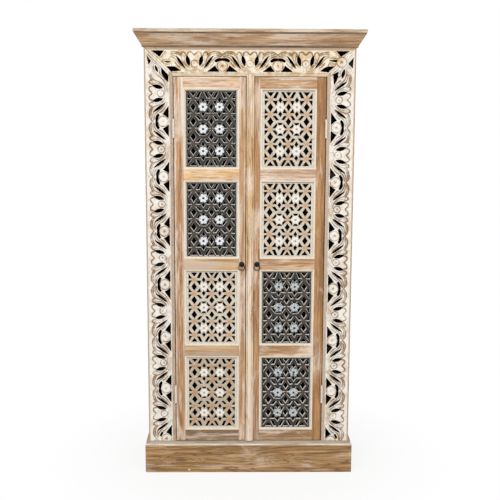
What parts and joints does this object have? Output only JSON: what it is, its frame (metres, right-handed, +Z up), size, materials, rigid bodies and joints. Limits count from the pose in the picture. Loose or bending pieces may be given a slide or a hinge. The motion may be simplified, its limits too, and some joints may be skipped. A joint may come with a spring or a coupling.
{
  "type": "tall cabinet",
  "caption": "Tall two-door cabinet in limewashed wood with carved pierced borders, pierced jali door panels, sloped cornice, plain plinth and iron ring pulls; doors and rings move.",
  "frame": {"origin": "middle of the footprint, on the floor", "axes": "+Z up, the door side faces -Y, +X to the right of someone facing the doors"},
  "size_m": [0.916, 0.418, 1.83],
  "materials": {
    "carved_wood": "carved, limewashed, rubbed back",
    "door_wood": "tan wood, limewash rubbed back",
    "bead_white": "limewashed moulding",
    "pale_lattice": "pierced, limewashed in the chamfers",
    "dark_lattice": "pierced, charcoal stain with pale edges",
    "cornice_wood": "greyed limewash",
    "plinth_wood": "brown wood, thin limewash",
    "plank_wood": "planks, thin limewash",
    "inner_wood": "dark stained inside",
    "painted_iron": "iron hinge leaves, limewashed over",
    "steel": "dull steel",
    "iron": "dark forged iron",
    "catch_plastic": "black catch housing"
  },
  "bodies": {
    "carcass": {"plinth_front": "plinth_wood", "plinth_left": "plinth_wood", "plinth_right": "plinth_wood", "plinth_blocks": "plinth_wood", "side_left": "plank_wood", "side_right": "plank_wood", "back_boards": "plank_wood", "floor_board": "inner_wood", "shelf_lower": "inner_wood", "shelf_middle": "inner_wood", "shelf_upper": "inner_wood", "shelf_cleats": "inner_wood", "header_rail": "cornice_wood", "top_board": "cornice_wood", "crown_front": "cornice_wood", "crown_left": "cornice_wood", "crown_right": "cornice_wood", "border_left": "carved_wood", "border_right": "carved_wood", "border_top": "carved_wood", "door_stop": "inner_wood", "magnet_catches": "catch_plastic", "frame_hinge_leaves": "painted_iron", "hinge_pins": "steel", "frame_hinge_screws": "steel"},
    "left_door": {"left_door_hinge_stile": "door_wood", "left_door_meeting_stile": "door_wood", "left_door_top_rail": "door_wood", "left_door_mid_rails": "door_wood", "left_door_bottom_rail": "door_wood", "left_door_jali_1": "dark_lattice", "left_door_jali_2": "dark_lattice", "left_door_jali_3": "pale_lattice", "left_door_jali_4": "pale_lattice", "left_door_beads": "bead_white", "left_door_hinge_leaves": "painted_iron", "left_door_hinge_screws": "steel", "left_door_strike_plate": "steel", "left_pull_rose": "iron", "left_pull_eye": "iron"},
    "right_door": {"right_door_hinge_stile": "door_wood", "right_door_meeting_stile": "door_wood", "right_door_top_rail": "door_wood", "right_door_mid_rails": "door_wood", "right_door_bottom_rail": "door_wood", "right_door_jali_1": "pale_lattice", "right_door_jali_2": "pale_lattice", "right_door_jali_3": "dark_lattice", "right_door_jali_4": "dark_lattice", "right_door_beads": "bead_white", "right_door_hinge_leaves": "painted_iron", "right_door_hinge_screws": "steel", "right_door_strike_plate": "steel", "right_pull_rose": "iron", "right_pull_eye": "iron", "right_door_cover_strip": "door_wood"},
    "left_ring": {"left_pull_ring": "iron"},
    "right_ring": {"right_pull_ring": "iron"}
  },
  "joints": [
    {"name": "left_door_hinge", "type": "hinge", "parent": "carcass", "child": "left_door", "pos_m": [-0.3054, -0.176, 0.892], "axis": [0, 0, -1], "range_deg": [0, 165]},
    {"name": "right_door_hinge", "type": "hinge", "parent": "carcass", "child": "right_door", "pos_m": [0.3054, -0.176, 0.892], "axis": [0, 0, 1], "range_deg": [0, 165]},
    {"name": "left_ring_swing", "type": "hinge", "parent": "left_door", "child": "left_ring", "pos_m": [-0.03125, -0.181, 0.892], "axis": [-1, 0, 0], "range_deg": [-8, 150]},
    {"name": "right_ring_swing", "type": "hinge", "parent": "right_door", "child": "right_ring", "pos_m": [0.03125, -0.181, 0.892], "axis": [-1, 0, 0], "range_deg": [-8, 150]}
  ]
}
